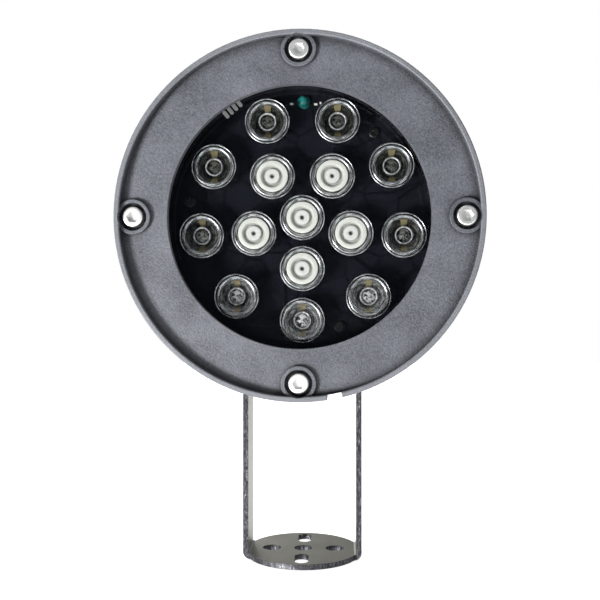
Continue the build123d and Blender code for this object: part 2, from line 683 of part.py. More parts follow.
with BuildPart() as driver_leads:
    for index in range(LEAD_COUNT):
        across = (index - (LEAD_COUNT - 1) / 2) * LEAD_PITCH
        start = (-across, DRIVER_FRONT + 1.5, DRIVER_TOP + 0.2)
        with BuildLine():
            route = FilletPolyline(
                start,
                (-across, DRIVER_FRONT + 1.5, DRIVER_TOP + 5),
                lamp_point(LEAD_HOLE_RING, across, 42),
                lamp_point(LEAD_HOLE_RING, across, CAVITY_FLOOR + LEAD_BEND),
                lamp_point(PAD_RING, across, CAVITY_FLOOR + LEAD_BEND),
                lamp_point(PAD_RING, across, BOARD_FACE),
                radius=LEAD_BEND,
            )
        with BuildSketch(Plane(origin=start, z_dir=(0, 0, 1))):
            Circle(LEAD_RADIUS)
        sweep(path=route)


# ---------------------------------------------------------------- driver, inside the neck

with BuildPart() as driver_board:
    with BuildSketch(Plane.XY.offset(DRIVER_TOP - DRIVER_THICKNESS)):
        with Locations((0, (DRIVER_FRONT + DRIVER_REAR) / 2)):
            Rectangle(2 * DRIVER_HALF_WIDTH, DRIVER_REAR - DRIVER_FRONT)
        with Locations(*DRIVER_SCREWS):
            Circle(DRIVER_HOLE, mode=Mode.SUBTRACT)
    extrude(amount=DRIVER_THICKNESS)

with BuildPart() as driver_capacitors:
    with BuildSketch(Plane.XY.offset(DRIVER_TOP)):
        with Locations((-11.5, 14.5), (11.5, 14.5)):
            Circle(4)
    extrude(amount=10)
    fillet(driver_capacitors.edges().group_by(Axis.Z)[-1], 0.6)

with BuildPart() as driver_inductor:
    with BuildSketch(Plane.XY.offset(DRIVER_TOP)):
        with Locations((0, 6.5)):
            Circle(6)
    extrude(amount=2)
    with BuildSketch(Plane.XY.offset(DRIVER_TOP + 2)):
        with Locations((0, 6.5)):
            Circle(4.8)
    extrude(amount=5)
    with BuildSketch(Plane.XY.offset(DRIVER_TOP + 7)):
        with Locations((0, 6.5)):
            Circle(6)
    extrude(amount=1.5)

with BuildPart() as driver_chips:
    with BuildSketch(Plane.XY.offset(DRIVER_TOP)):
        with Locations((-9, -4), (9, -4)):
            Rectangle(5, 4)
        with Locations((-11.5, 5), (11.5, 5)):
            Rectangle(4.4, 2.6)
    extrude(amount=1.7)

with BuildPart() as input_terminal:
    with Locations((0, DRIVER_REAR - DRIVER_SCREW_INSET, DRIVER_TOP + 1.2)):
        Box(11, 8, 8, align=(Align.CENTER, Align.CENTER, Align.MIN))
    with Locations((0, DRIVER_REAR - 1, DRIVER_TOP + 4.2)):
        with GridLocations(5, 0, 2, 1):
            Box(3, 10, 3, mode=Mode.SUBTRACT)

with BuildPart() as driver_screws:
    with BuildSketch(Plane.XY.offset(DRIVER_TOP - DRIVER_TAP_DEPTH)):
        with Locations(*DRIVER_SCREWS):
            Circle(DRIVER_TAP - FIT)
    extrude(amount=DRIVER_TAP_DEPTH)
    with BuildSketch(Plane.XY.offset(DRIVER_TOP)):
        with Locations(*DRIVER_SCREWS):
            Circle(DRIVER_SCREW_HEAD_RADIUS)
    extrude(amount=DRIVER_SCREW_HEAD)


# ---------------------------------------------------------------- rear cover and cable gland

with BuildPart() as rear_cover_gasket:
    with BuildSketch(rear_plane(NECK_BACK)):
        Circle(NECK_RADIUS)
        Circle(COVER_GASKET_BORE, mode=Mode.SUBTRACT)
        with PolarLocations(COVER_SCREW_CIRCLE, 4, start_angle=45):
            Circle(M3_CLEARANCE, mode=Mode.SUBTRACT)
    extrude(amount=COVER_FRONT - NECK_BACK)

with BuildPart() as rear_cover:
    with BuildSketch(rear_plane(COVER_FRONT)):
        Circle(NECK_RADIUS)
        Circle(GLAND_THREAD + FIT, mode=Mode.SUBTRACT)
        with PolarLocations(COVER_SCREW_CIRCLE, 4, start_angle=45):
            Circle(M3_CLEARANCE, mode=Mode.SUBTRACT)
    extrude(amount=COVER_BACK - COVER_FRONT)
    rim = rear_cover.edges().group_by(Axis.Y)[-1].filter_by(GeomType.CIRCLE)
    chamfer(rim.sort_by(SortBy.RADIUS)[-1], 0.8)

with BuildPart() as m3_cover_screw:
    with BuildSketch(Plane.XY.offset(-CAP_LENGTH)):
        Circle(M3_SHANK)
    extrude(amount=CAP_LENGTH)
    with BuildSketch(Plane.XY):
        Circle(M3_HEAD_RADIUS)
    extrude(amount=CAP_HEAD)
    fillet(m3_cover_screw.edges().group_by(Axis.Z)[-1], 0.4)
    with BuildSketch(Plane.XY.offset(CAP_HEAD)):
        RegularPolygon(CAP_KEY, 6, major_radius=False)
    extrude(amount=-CAP_HEAD / 2, mode=Mode.SUBTRACT)

with BuildPart(rear_plane(COVER_BACK)) as rear_cover_screws:
    with PolarLocations(COVER_SCREW_CIRCLE, 4, start_angle=45):
        add(m3_cover_screw.part)

with BuildPart() as gland_washer:
    with BuildSketch(rear_plane(COVER_BACK)):
        Circle(8.0)
        Circle(GLAND_THREAD + 0.1, mode=Mode.SUBTRACT)
    extrude(amount=GLAND_WASHER)

# The body is a hex collar with a threaded stub each way; the rear stub holds the seal.
HEX_FRONT = COVER_BACK + GLAND_WASHER
HEX_BACK = HEX_FRONT + 5
with BuildPart() as gland_body:
    with BuildSketch(rear_plane(COVER_FRONT - GLAND_NECK)):
        Circle(GLAND_THREAD - FIT)
    extrude(amount=HEX_BACK + SEAL_LENGTH - COVER_FRONT + GLAND_NECK)
    with BuildSketch(rear_plane(HEX_FRONT)):
        RegularPolygon(GLAND_HEX, 6, major_radius=False)
    extrude(amount=HEX_BACK - HEX_FRONT)
    with BuildSketch(rear_plane(COVER_FRONT - GLAND_NECK)):
        Circle(GLAND_BORE)
    extrude(amount=HEX_BACK - COVER_FRONT + GLAND_NECK, mode=Mode.SUBTRACT)
    with BuildSketch(rear_plane(HEX_BACK)):
        Circle(SEAL_OUTER + FIT)
    extrude(amount=SEAL_LENGTH, mode=Mode.SUBTRACT)

with BuildPart() as gland_lock_nut:
    with BuildSketch(rear_plane(COVER_FRONT - GLAND_NUT)):
        RegularPolygon(GLAND_HEX, 6, major_radius=False)
        Circle(GLAND_THREAD, mode=Mode.SUBTRACT)
    extrude(amount=GLAND_NUT)

with BuildPart() as gland_seal:
    with BuildSketch(rear_plane(HEX_BACK)):
        Circle(SEAL_OUTER)
        Circle(SEAL_BORE, mode=Mode.SUBTRACT)
    extrude(amount=SEAL_LENGTH)

# The cap: a hex skirt over the stub, then a dome with the cord's hole.
CAP_FRONT = HEX_BACK + 0.5
CAP_HEX = SEAL_LENGTH
CAP_DOME = 4.0
with BuildPart() as gland_cap:
    with BuildSketch(rear_plane(CAP_FRONT)):
        RegularPolygon(GLAND_HEX, 6, major_radius=False)
    extrude(amount=CAP_HEX)
    with BuildSketch(rear_plane(CAP_FRONT + CAP_HEX)):
        Circle(GLAND_HEX - 0.6)
    extrude(amount=CAP_DOME)
    fillet(gland_cap.edges().group_by(Axis.Y)[-1], 2.6)
    with BuildSketch(rear_plane(CAP_FRONT)):
        Circle(GLAND_THREAD)
    extrude(amount=CAP_HEX - 0.3, mode=Mode.SUBTRACT)
    with BuildSketch(rear_plane(CAP_FRONT)):
        Circle(SEAL_BORE + 0.2)
    extrude(amount=CAP_HEX + CAP_DOME, mode=Mode.SUBTRACT)


# ---------------------------------------------------------------- pivot hardware


def side_plane(side, distance):
    """A plane across the pivot axis, facing away from the lamp, on the side given as -1 or 1."""
    return Plane(origin=(side * distance, 0, PIVOT_HEIGHT), x_dir=(0, 1, 0), z_dir=(side, 0, 0))


with BuildPart() as pivot_bolts:
    for side in (-1, 1):
        with BuildSketch(side_plane(side, BOLT_SEAT)):
            Circle(BOLT_RADIUS)
        extrude(amount=-BOLT_LENGTH)
        with BuildSketch(side_plane(side, BOLT_SEAT)):
            RegularPolygon(BOLT_HEX, 6, major_radius=False)
        extrude(amount=BOLT_HEAD)

with BuildPart() as pivot_flat_washers:
    for side in (-1, 1):
        with BuildSketch(side_plane(side, FLAT_START)):
            Circle(6.0)
            Circle(WASHER_HOLE, mode=Mode.SUBTRACT)
        extrude(amount=WASHER_THICKNESS)

# Split rings: a narrow cut at the top of each.
with BuildPart() as pivot_lock_washers:
    for side in (-1, 1):
        with BuildSketch(side_plane(side, LOCK_START)):
            Circle(5.2)
            Circle(WASHER_HOLE, mode=Mode.SUBTRACT)
            with Locations((0, side * 4.5)):
                Rectangle(0.8, 4, rotation=20, mode=Mode.SUBTRACT)
        extrude(amount=LOCK_THICKNESS)

with BuildPart() as pivot_friction_washers:
    for side in (-1, 1):
        with BuildSketch(side_plane(side, PIVOT_BOSS_FACE)):
            Circle(PIVOT_BOSS_RADIUS)
            Circle(WASHER_HOLE, mode=Mode.SUBTRACT)
        extrude(amount=FRICTION_THICKNESS)


# ---------------------------------------------------------------- files

pieces = {
    "bracket": bracket,
    "housing": housing,
    "bezel_ring": bezel_ring,
    "bezel_screws": bezel_screws,
    "bezel_washers": bezel_washers,
    "front_glass": front_glass,
    "front_gasket": front_gasket,
    "rear_gasket": rear_gasket,
    "led_board": led_board,
    "thermal_pad": thermal_pad,
    "board_screws": board_screws,
    "led_bodies": led_bodies,
    "led_domes": led_domes,
    "led_leads": led_leads,
    "outer_lenses": outer_lenses,
    "inner_lenses": inner_lenses,
    "inner_lens_holders": inner_lens_holders,
    "light_sensor": light_sensor,
    "sensor_chips": sensor_chips,
    "solder_pads": solder_pads,
    "driver_leads": driver_leads,
    "driver_board": driver_board,
    "driver_capacitors": driver_capacitors,
    "driver_inductor": driver_inductor,
    "driver_chips": driver_chips,
    "input_terminal": input_terminal,
    "driver_screws": driver_screws,
    "rear_cover_gasket": rear_cover_gasket,
    "rear_cover": rear_cover,
    "rear_cover_screws": rear_cover_screws,
    "gland_washer": gland_washer,
    "gland_body": gland_body,
    "gland_lock_nut": gland_lock_nut,
    "gland_seal": gland_seal,
    "gland_cap": gland_cap,
    "pivot_bolts": pivot_bolts,
    "pivot_flat_washers": pivot_flat_washers,
    "pivot_lock_washers": pivot_lock_washers,
    "pivot_friction_washers": pivot_friction_washers,
}

os.makedirs("parts", exist_ok=True)
for name, piece in pieces.items():
    piece.part.label = name
    export_step(piece.part, f"parts/{name}.step")
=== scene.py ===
"""Underwater pond light: looks, floor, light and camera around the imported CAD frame."""
from math import cos, pi, radians, sin

import bmesh
import bpy
from mathutils import Euler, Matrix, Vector


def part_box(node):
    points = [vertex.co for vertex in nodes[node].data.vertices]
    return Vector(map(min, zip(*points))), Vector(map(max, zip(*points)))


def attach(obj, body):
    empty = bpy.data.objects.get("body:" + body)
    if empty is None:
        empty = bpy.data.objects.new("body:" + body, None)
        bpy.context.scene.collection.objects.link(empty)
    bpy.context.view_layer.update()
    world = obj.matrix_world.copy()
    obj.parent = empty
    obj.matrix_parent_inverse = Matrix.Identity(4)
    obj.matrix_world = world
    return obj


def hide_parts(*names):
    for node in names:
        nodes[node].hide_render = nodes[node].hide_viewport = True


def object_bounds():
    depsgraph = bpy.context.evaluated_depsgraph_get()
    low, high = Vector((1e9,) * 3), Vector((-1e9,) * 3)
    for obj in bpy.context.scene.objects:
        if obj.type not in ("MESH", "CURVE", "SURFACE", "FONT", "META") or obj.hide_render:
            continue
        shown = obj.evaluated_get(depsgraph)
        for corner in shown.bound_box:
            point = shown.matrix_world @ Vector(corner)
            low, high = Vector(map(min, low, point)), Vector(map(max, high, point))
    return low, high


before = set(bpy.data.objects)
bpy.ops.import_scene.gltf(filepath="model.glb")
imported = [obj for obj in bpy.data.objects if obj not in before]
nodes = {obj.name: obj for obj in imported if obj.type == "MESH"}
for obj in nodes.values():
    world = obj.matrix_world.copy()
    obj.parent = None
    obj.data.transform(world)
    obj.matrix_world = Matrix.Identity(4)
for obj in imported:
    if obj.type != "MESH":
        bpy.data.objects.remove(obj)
cad_low, cad_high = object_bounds()

MM = 0.001

# ---------------------------------------------------------------- places read from the frame

bezel_low, bezel_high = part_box("bezel_ring")
LAMP_X = (bezel_low.x + bezel_high.x) / 2
LAMP_Z = (bezel_low.z + bezel_high.z) / 2
LIP_FRONT = bezel_low.y
BEZEL_R = (bezel_high.x - bezel_low.x) / 2
LIP_WIDTH = 2.5 * MM
LIP_DEPTH = 1.0 * MM
# How much the painted highlight on the lip's front lightens the coat
LIP_SHEEN = 0.22
# Reach of the painted shade that darkens the coat in crevices
CREVICE_SHADE_REACH = 6 * MM
plate_low, plate_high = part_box("bracket")
PLATE = 2.8 * MM
BEND_REACH = 4.7 * MM  # from an arm's outer face to where the foot's sheared edge begins
BOARD_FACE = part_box("led_board")[0].y
LENS_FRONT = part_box("inner_lenses")[0].y
LENS_R = 11.3 * MM
LED_RINGS = ((0.0, 1), (25.2 * MM, 5), (50.8 * MM, 9))
BETWEEN_RINGS = 37 * MM
LIT_DROP = 60 * MM  # how far below the lamp's centre the brightness of the lenses is reckoned
DISC_R = 8.0  # millimetres, like the other measures of a turned piece
LEAD_REACH = 8.0
LEAD_SIDE = 0.972  # sine of the angle beyond which a lead is mirrored
# The array's centre: its box is even across, and the lowest outer lens touches its low side.
array_low, array_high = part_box("outer_lenses")
ARRAY_X = (array_low.x + array_high.x) / 2
ARRAY_Z = array_low.z + LENS_R + LED_RINGS[2][0]


# ---------------------------------------------------------------- material building blocks


class Nodes:
    """A material's node tree, with short ways to add and join nodes."""

    def __init__(self, name):
        self.material = bpy.data.materials.new(name)
        self.material.use_nodes = True
        self.tree = self.material.node_tree
        self.tree.nodes.clear()
        self.output = self.add("ShaderNodeOutputMaterial")
        self.coords = self.add("ShaderNodeTexCoord").outputs["Object"]

    def add(self, kind, **settings):
        node = self.tree.nodes.new(kind)
        for key, value in settings.items():
            setattr(node, key, value)
        return node

    def link(self, source, target):
        """Joins a socket, or sets a plain value."""
        if isinstance(source, bpy.types.NodeSocket):
            self.tree.links.new(source, target)
        elif isinstance(source, (tuple, list)) and len(source) == 3 and target.type == "RGBA":
            target.default_value = (*source, 1.0)
        else:
            target.default_value = source

    def noise(self, scale, detail=3.0, roughness=0.5, stretch=None):
        """Noise with features about 1/scale metres across."""
        node = self.add("ShaderNodeTexNoise")
        vector = self.coords
        if stretch is not None:
            vector = self.mapping(stretch)
        self.link(vector, node.inputs["Vector"])
        node.inputs["Scale"].default_value = scale
        node.inputs["Detail"].default_value = detail
        node.inputs["Roughness"].default_value = roughness
        return node.outputs["Fac"]

    def mapping(self, scale):
        node = self.add("ShaderNodeMapping")
        self.link(self.coords, node.inputs["Vector"])
        node.inputs["Scale"].default_value = scale
        return node.outputs["Vector"]

    def cells(self, scale, feature="F1"):
        node = self.add("ShaderNodeTexVoronoi", feature=feature)
        self.link(self.coords, node.inputs["Vector"])
        node.inputs["Scale"].default_value = scale
        return node.outputs["Distance"]

    def ramp(self, source, *stops):
        """A colour or grey ramp; each stop is (position, value)."""
        node = self.add("ShaderNodeValToRGB")
        self.link(source, node.inputs["Fac"])
        elements = node.color_ramp.elements
        while len(elements) < len(stops):
            elements.new(1.0)
        for element, (position, value) in zip(elements, stops):
            element.position = position
            colour = value if isinstance(value, (tuple, list)) else (value, value, value)
            element.color = (*colour, 1.0)
        return node.outputs["Color"]

    def math(self, operation, a, b=0.0):
        node = self.add("ShaderNodeMath", operation=operation)
        self.link(a, node.inputs[0])
        self.link(b, node.inputs[1])
        return node.outputs[0]

    def mix(self, share, a, b):
        """Colour a where share is 0, colour b where it is 1."""
        node = self.add("ShaderNodeMix", data_type="RGBA")
        self.link(share, node.inputs["Factor"])
        self.link(a, node.inputs[6])
        self.link(b, node.inputs[7])
        return node.outputs[2]

    def spread(self, source, low, high):
        """Maps 0-1 onto a range."""
        node = self.add("ShaderNodeMapRange")
        self.link(source, node.inputs["Value"])
        node.inputs["To Min"].default_value = low
        node.inputs["To Max"].default_value = high
        return node.outputs["Result"]

    def bump(self, height, distance, strength=1.0, edge=None):
        """Surface relief this many metres deep, with softened edges if edge is a radius."""
        node = self.add("ShaderNodeBump")
        self.link(height, node.inputs["Height"])
        node.inputs["Distance"].default_value = distance
        node.inputs["Strength"].default_value = strength
        if edge is not None:
            rounded = self.add("ShaderNodeBevel", samples=4)
            rounded.inputs["Radius"].default_value = edge
            self.link(rounded.outputs["Normal"], node.inputs["Normal"])
        return node.outputs["Normal"]

    def surface(self, **inputs):
        """The Principled shader that ends the tree."""
        shader = self.add("ShaderNodeBsdfPrincipled")
        for key, value in inputs.items():
            self.link(value, shader.inputs[key.replace("_", " ")])
        self.link(shader.outputs["BSDF"], self.output.inputs["Surface"])
        return self.material


def axis_distance(n):
    """How far a point is from the lamp's axis, in metres."""
    place = xyz(n, n.coords)
    across = n.math("POWER", n.math("SUBTRACT", place[0], LAMP_X), 2.0)
    up = n.math("POWER", n.math("SUBTRACT", place[2], LAMP_Z), 2.0)
    return n.math("SQRT", n.math("ADD", across, up))


def xyz(n, socket):
    node = n.add("ShaderNodeSeparateXYZ")
    n.link(socket, node.inputs[0])
    return node.outputs


# ---------------------------------------------------------------- metals and coatings


def powder_coat(name, dark, light, edge=0.35 * MM):
    """Sand-textured dark grey powder coat on a casting, with painted shade in its crevices and a painted
    highlight on the front of the lip.
    """
    n = Nodes(name)
    grain = n.noise(1300, detail=3.0, roughness=0.65)
    pits = n.cells(1100)
    cloud = n.noise(45, detail=4.0)
    tone = n.math("ADD", n.math("MULTIPLY", grain, 0.6), n.math("MULTIPLY", cloud, 0.4))
    coat = n.ramp(tone, (0.32, dark), (0.68, light))
    # Painted highlight: the front of the lip is mixed towards a paler grey, for the light its rounded edge
    # catches.
    on_lip = n.math("GREATER_THAN", axis_distance(n), BEZEL_R - LIP_WIDTH)
    in_front = n.math("LESS_THAN", xyz(n, n.coords)[1], LIP_FRONT + LIP_DEPTH)
    lip_sheen = n.math("MULTIPLY", n.math("MULTIPLY", on_lip, in_front), LIP_SHEEN)
    coat = n.mix(lip_sheen, coat, (0.30, 0.305, 0.32))
    # Painted shade: ambient occlusion darkens the coat to near black in crevices, at the lip's foot and in
    # the counterbores.
    crevice_shade = n.add("ShaderNodeAmbientOcclusion", samples=6, only_local=True)
    crevice_shade.inputs["Distance"].default_value = CREVICE_SHADE_REACH
    unshaded_share = n.ramp(crevice_shade.outputs["AO"], (0.42, 0.0), (0.86, 1.0))
    colour = n.mix(unshaded_share, (0.010, 0.010, 0.012), coat)
    height = n.math("ADD", grain, n.math("MULTIPLY", pits, 0.6))
    return n.surface(
        Base_Color=colour,
        Metallic=0.0,
        Roughness=n.spread(grain, 0.42, 0.62),
        IOR=1.5,
        Normal=n.bump(height, 0.16 * MM, 0.9, edge),
    )


def steel_plate(name):
    """Satin mill finish on the strip's faces, with dark rough sheared edges."""
    n = Nodes(name)
    normal = xyz(n, n.add("ShaderNodeTexCoord").outputs["Normal"])
    place = xyz(n, n.coords)
    sideways = n.math("GREATER_THAN", n.math("ABSOLUTE", normal[1]), 0.45)
    in_foot = n.math("LESS_THAN", place[2], plate_low.z + PLATE * 1.01)
    upright = n.math("LESS_THAN", n.math("ABSOLUTE", normal[2]), 0.3)
    off_bend = n.math("LESS_THAN", n.math("ABSOLUTE", place[0]), plate_high.x - BEND_REACH)
    foot_edge = n.math("MULTIPLY", n.math("MULTIPLY", in_foot, upright), off_bend)
    at_top = n.math("GREATER_THAN", place[2], LAMP_Z)
    end_grain = n.math("MULTIPLY", at_top, n.math("LESS_THAN", n.math("ABSOLUTE", normal[0]), 0.5))
    edge = n.math("MAXIMUM", sideways, n.math("MAXIMUM", foot_edge, end_grain))

    rolled = n.noise(900, detail=4.0, stretch=(1.0, 1.0, 0.08))
    cloud = n.noise(60, detail=5.0)
    satin = n.ramp(
        n.math("ADD", n.math("MULTIPLY", rolled, 0.5), n.math("MULTIPLY", cloud, 0.5)),
        (0.35, (0.225, 0.222, 0.190)),
        (0.65, (0.275, 0.270, 0.235)),
    )
    torn = n.noise(1100, detail=6.0, roughness=0.7, stretch=(1.0, 0.5, 0.35))
    sheared = n.ramp(
        torn,
        (0.38, (0.010, 0.010, 0.012)),
        (0.52, (0.045, 0.046, 0.052)),
        (0.62, (0.13, 0.13, 0.14)),
        (0.70, (0.50, 0.50, 0.50)),
    )
    torn_edge = n.math("MULTIPLY", n.math("MULTIPLY", torn, edge), 2.0)
    relief = n.math("ADD", n.math("MULTIPLY", rolled, 0.15), torn_edge)
    return n.surface(
        Base_Color=n.mix(edge, satin, sheared),
        Metallic=n.spread(edge, 0.95, 0.7),
        Roughness=n.math("ADD", n.spread(cloud, 0.34, 0.46), n.math("MULTIPLY", edge, 0.12)),
        Normal=n.bump(relief, 0.05 * MM, 0.8, 0.2 * MM),
    )


def bright_metal(name, dark, light, rough, scale=1800):
    """Turned or rolled metal with fine tool marks."""
    n = Nodes(name)
    marks = n.noise(scale, detail=4.0)
    cloud = n.noise(scale / 12, detail=3.0)
    return n.surface(
        Base_Color=n.ramp(cloud, (0.35, dark), (0.65, light)),
        Metallic=1.0,
        Roughness=n.spread(marks, rough, rough + 0.14),
        Normal=n.bump(marks, 0.02 * MM, 0.5, 0.15 * MM),
    )


def moulded(name, dark, light, rough, grain=1500, depth=0.03):
    """Plastic, rubber, ceramic or resin with a fine moulded grain."""
    n = Nodes(name)
    fine = n.noise(grain, detail=3.0)
    cloud = n.noise(grain / 20, detail=3.0)
    return n.surface(
        Base_Color=n.ramp(cloud, (0.35, dark), (0.65, light)),
        Metallic=0.0,
        Roughness=n.spread(fine, rough, rough + 0.12),
        Normal=n.bump(fine, depth * MM, 0.6, 0.15 * MM),
    )


def window_glass(name):
    """Clear toughened glass: see-through, with the reflections of its two faces."""
    n = Nodes(name)
    smear = n.noise(60, detail=4.0)
    clear = n.add("ShaderNodeBsdfTransparent")
    clear.inputs["Color"].default_value = (0.94, 0.945, 0.945, 1.0)
    gloss = n.add("ShaderNodeBsdfGlossy")
    n.link(n.spread(smear, 0.01, 0.035), gloss.inputs["Roughness"])
    fresnel = n.add("ShaderNodeFresnel")
    behind = n.add("ShaderNodeNewGeometry").outputs["Backfacing"]
    n.link(n.spread(behind, 1.5, 1 / 1.5), fresnel.inputs["IOR"])
    blend = n.add("ShaderNodeMixShader")
    n.link(fresnel.outputs[0], blend.inputs[0])
    n.link(clear.outputs[0], blend.inputs[1])
    n.link(gloss.outputs[0], blend.inputs[2])
    n.link(blend.outputs[0], n.output.inputs["Surface"])
    return n.material


def lens_acrylic(name):
    """Polished acrylic that bends what is seen through it."""
    n = Nodes(name)
    flow = n.noise(260, detail=2.0)
    return n.surface(
        Base_Color=n.ramp(flow, (0.3, (0.94, 0.95, 0.96)), (0.7, (1.0, 1.0, 1.0))),
        Metallic=0.0,
        Roughness=n.spread(flow, 0.0, 0.03),
        Transmission_Weight=1.0,
        IOR=1.49,
        Normal=n.bump(flow, 0.01 * MM, 0.3),
    )


def black_board(name):
    """Glossy black solder mask with the copper pattern just showing through it."""
    n = Nodes(name)
    plates = n.cells(75, feature="DISTANCE_TO_EDGE")
    gap = n.ramp(plates, (0.03, 0.0), (0.045, 1.0))
    fine = n.noise(700, detail=3.0)
    colour = n.mix(gap, (0.004, 0.0045, 0.006), (0.009, 0.010, 0.014))
    return n.surface(
        Base_Color=colour,
        Metallic=0.0,
        Roughness=n.spread(fine, 0.09, 0.16),
        IOR=1.5,
        Normal=n.bump(n.math("ADD", gap, n.math("MULTIPLY", fine, 0.1)), 0.02 * MM, 0.5),
    )


def led_package(name):
    """White packages under the six white lenses, dark ones under the nine clear lenses."""
    n = Nodes(name)
    outer = n.math("GREATER_THAN", axis_distance(n), BETWEEN_RINGS)
    fine = n.noise(1500, detail=3.0)
    return n.surface(
        Base_Color=n.mix(
            outer,
            n.ramp(fine, (0.3, (0.80, 0.80, 0.75)), (0.7, (0.88, 0.88, 0.83))),
            n.ramp(fine, (0.3, (0.02, 0.02, 0.018)), (0.7, (0.05, 0.05, 0.045))),
        ),
        Metallic=0.0,
        Roughness=n.spread(fine, 0.25, 0.4),
        Normal=n.bump(fine, 0.02 * MM, 0.5),
    )


def turn_place(n):
    """Direction round a turned piece's axis, as two numbers, and the radius in millimetres."""
    return xyz(n, n.add("ShaderNodeAttribute", attribute_name="turn").outputs["Vector"])


def turn_noise(n, place, scale, along=0.0, detail=3.0):
    """Noise round a turned piece's axis, different on each piece; along is its change per mm outward."""
    joined = n.add("ShaderNodeCombineXYZ")
    n.link(place[0], joined.inputs[0])
    n.link(place[1], joined.inputs[1])
    which = n.math("MULTIPLY", n.noise(25, detail=0.0), 3.0)
    n.link(n.math("ADD", which, n.math("MULTIPLY", place[2], along)), joined.inputs[2])
    node = n.add("ShaderNodeTexNoise")
    n.link(joined.outputs[0], node.inputs["Vector"])
    node.inputs["Scale"].default_value = scale
    node.inputs["Detail"].default_value = detail
    return node.outputs["Fac"]


def lit_share(n):
    """0 on the upper lenses to 1 on the lowest: painted brightness, tied to the lamp and not to a light."""
    height = n.math("SUBTRACT", xyz(n, n.coords)[2], LAMP_Z)
    return n.ramp(n.math("DIVIDE", height, -LIT_DROP), (0.0, 0.0), (0.75, 1.0))


def mirrored_rim(name):
    """Opaque stand-in for the silvery, broken ring that total reflection makes in a lens's edge."""
    n = Nodes(name)
    broken = turn_noise(n, turn_place(n), 2.4, along=0.6)
    return n.surface(
        Base_Color=n.ramp(
            broken, (0.36, (0.14, 0.14, 0.14)), (0.50, (0.55, 0.56, 0.57)), (0.66, (0.92, 0.92, 0.93))
        ),
        Metallic=0.75,
        Roughness=n.spread(broken, 0.34, 0.16),
        Normal=n.bump(n.noise(900, detail=2.0), 0.03 * MM, 0.5),
    )


def well_reflection(name):
    """The bright ring round the well in the middle of a clear lens: a painted reflection on an opaque
    piece.
    """
    n = Nodes(name)
    broken = turn_noise(n, turn_place(n), 3.0)
    return n.surface(
        Base_Color=n.ramp(broken, (0.35, (0.34, 0.34, 0.35)), (0.6, (0.86, 0.86, 0.87))),
        Metallic=0.2,
        Roughness=n.spread(broken, 0.25, 0.15),
        Normal=n.bump(broken, 0.02 * MM, 0.4),
    )


def lens_funnel(name):
    """The cone inside a clear lens, streaked and swirled by painted reflections, with the LED's gold leads
    mirrored in it as painted reflection, and painted light that makes the lower lenses brighter.
    """
    n = Nodes(name)
    place = turn_place(n)
    swirl = turn_noise(n, place, 2.6, along=0.75, detail=4.0)
    streaks = turn_noise(n, place, 8.0, along=0.1, detail=4.0)
    tone = n.math("ADD", n.math("MULTIPLY", swirl, 0.65), n.math("MULTIPLY", streaks, 0.35))
    dim = n.ramp(
        tone, (0.38, (0.014, 0.014, 0.011)), (0.52, (0.055, 0.054, 0.042)), (0.64, (0.20, 0.20, 0.18))
    )
    lit = n.ramp(tone, (0.38, (0.06, 0.06, 0.06)), (0.50, (0.26, 0.26, 0.26)), (0.62, (0.72, 0.72, 0.72)))
    # Painted light and reflection: the lower lenses take the bright tones, the upper ones the dark.
    funnel_reflection = n.mix(lit_share(n), dim, lit)
    # Painted reflection of the LED's gold leads, above and below the well.
    upright = n.math("GREATER_THAN", n.math("ABSOLUTE", place[1]), LEAD_SIDE)
    outward = n.math("LESS_THAN", place[2], LEAD_REACH)
    lead_reflection = n.math("MULTIPLY", n.math("MULTIPLY", upright, outward), 0.8)
    return n.surface(
        Base_Color=n.mix(lead_reflection, funnel_reflection, (0.50, 0.42, 0.22)),
        Metallic=0.4,
        Roughness=n.spread(streaks, 0.14, 0.30),
        Normal=n.bump(tone, 0.25 * MM, 0.6),
    )


def lens_heart(name):
    """The polished dome in the middle of a clear lens, with the LED under it; painted light and painted
    glints make it bright on the lower lenses and dark on the upper ones.
    """
    n = Nodes(name)
    flow = turn_noise(n, turn_place(n), 1.8, along=0.5)
    dim = n.ramp(flow, (0.42, (0.008, 0.008, 0.007)), (0.62, (0.10, 0.10, 0.085)))
    lit = n.ramp(flow, (0.42, (0.05, 0.05, 0.05)), (0.56, (0.62, 0.62, 0.62)))
    return n.surface(
        Base_Color=n.mix(lit_share(n), dim, lit),
        Metallic=0.0,
        Roughness=n.spread(flow, 0.02, 0.06),
        IOR=1.6,
        Normal=n.bump(flow, 0.10 * MM, 0.5),
    )


def cream_diffuser(name):
    """Milky lens body: a bright eye and a cream outer ring, with painted shade as a grey ring in the groove
    round the eye and a dark spot in the hole at its middle.
    """
    n = Nodes(name)
    radius = n.math("DIVIDE", turn_place(n)[2], DISC_R)
    # Painted shade: the ramp darkens the groove from 3.8 to 5 mm out and the hole within 1.3 mm of the
    # middle.
    rings = n.ramp(
        radius,
        (0.10, (0.20, 0.20, 0.18)),
        (0.17, (0.60, 0.60, 0.58)),
        (0.41, (0.64, 0.64, 0.61)),
        (0.47, (0.36, 0.36, 0.34)),
        (0.62, (0.42, 0.42, 0.39)),
        (0.70, (0.62, 0.62, 0.58)),
        (0.93, (0.66, 0.66, 0.61)),
    )
    speck = n.noise(900, detail=4.0)
    return n.surface(
        Base_Color=n.mix(n.spread(speck, 0.0, 0.3), rings, (0.42, 0.42, 0.39)),
        Metallic=0.0,
        Roughness=n.spread(speck, 0.22, 0.34),
        Normal=n.bump(speck, 0.02 * MM, 0.5),
    )


def clear_silicone(name):
    """The LED's dome: clear silicone with a yellowish cast."""
    n = Nodes(name)
    flow = n.noise(900, detail=2.0)
    return n.surface(
        Base_Color=n.ramp(flow, (0.3, (0.90, 0.90, 0.80)), (0.7, (0.98, 0.98, 0.92))),
        Metallic=0.0,
        Roughness=n.spread(flow, 0.0, 0.04),
        Transmission_Weight=1.0,
        IOR=1.41,
        Normal=n.bump(flow, 0.01 * MM, 0.3),
    )


